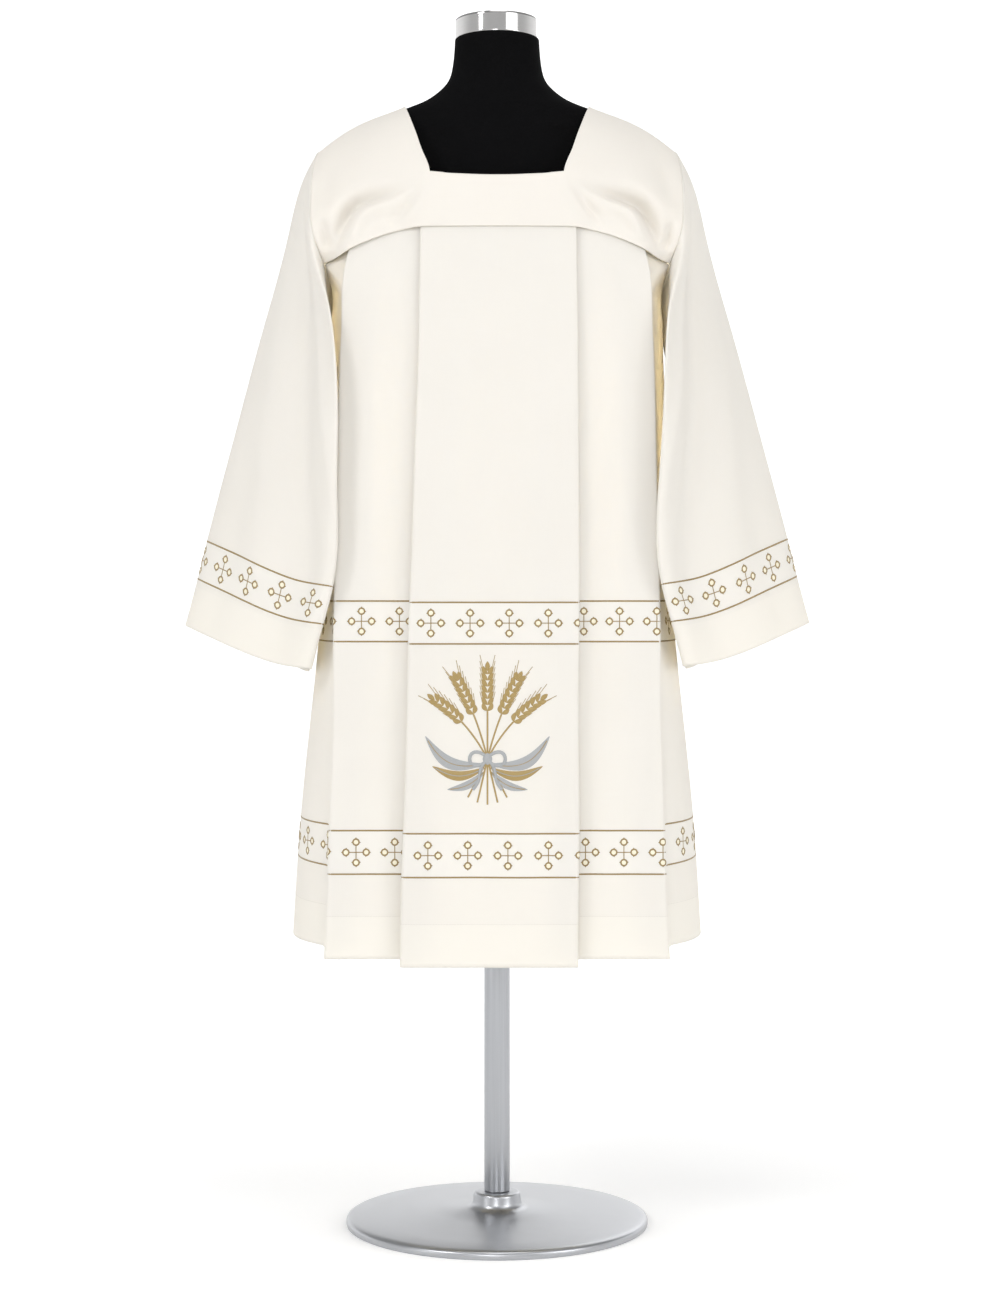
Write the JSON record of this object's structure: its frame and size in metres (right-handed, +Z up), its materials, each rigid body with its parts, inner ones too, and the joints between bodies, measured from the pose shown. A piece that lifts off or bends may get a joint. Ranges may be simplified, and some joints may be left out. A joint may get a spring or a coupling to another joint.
{
  "type": "surplice on a limbless dress form",
  "caption": "Knee-length surplice with square neckline, pleated body, bell sleeves and embroidered bands, worn by a limbless dress form on a round base.",
  "frame": {"origin": "middle of the base's underside, on the floor", "axes": "+Z up, the front of the surplice faces -Y, +X to the right as seen from the front"},
  "size_m": [0.7712, 0.3992, 1.502],
  "materials": {
    "cloth": "ivory plain-woven light wool blend, matte",
    "jersey": "black knitted cover, matte",
    "chrome": "polished",
    "steel": "satin",
    "gold_thread": "old-gold embroidery thread",
    "silver_thread": "silver-grey embroidery thread",
    "pale_thread": "pale yellow embroidery thread"
  },
  "bodies": {
    "root": {"base": "steel", "pole": "steel", "form_torso": "jersey", "neck_cap": "chrome", "yoke_front": "cloth", "yoke_back": "cloth", "body_front": "cloth", "body_back": "cloth", "sleeve_left": "cloth", "sleeve_right": "cloth"}
  },
  "joints": []
}
